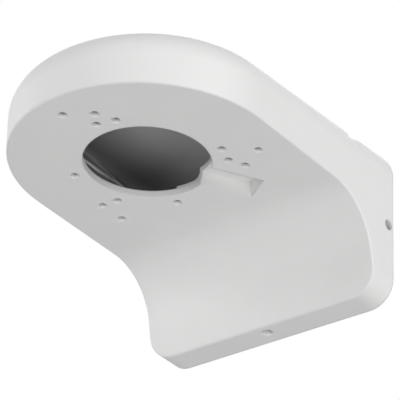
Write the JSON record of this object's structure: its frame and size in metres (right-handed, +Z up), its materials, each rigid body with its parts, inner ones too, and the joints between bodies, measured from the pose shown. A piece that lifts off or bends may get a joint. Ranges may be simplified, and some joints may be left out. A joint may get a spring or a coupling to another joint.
{
  "type": "camera wall bracket",
  "caption": "Hollow cast arm with a round underside for a dome camera, a cable opening, and a wall flange with a concave foot.",
  "frame": {"origin": "middle of the wall flange, in the plane of the wall", "axes": "+Z up, +Y into the wall, +X to the right seen from the room"},
  "size_m": [0.124, 0.1609, 0.0816],
  "materials": {
    "powder_coat": "fine-textured matt white powder coat on die-cast aluminium"
  },
  "bodies": {
    "root": {"bracket_casting": "powder_coat"}
  },
  "joints": []
}
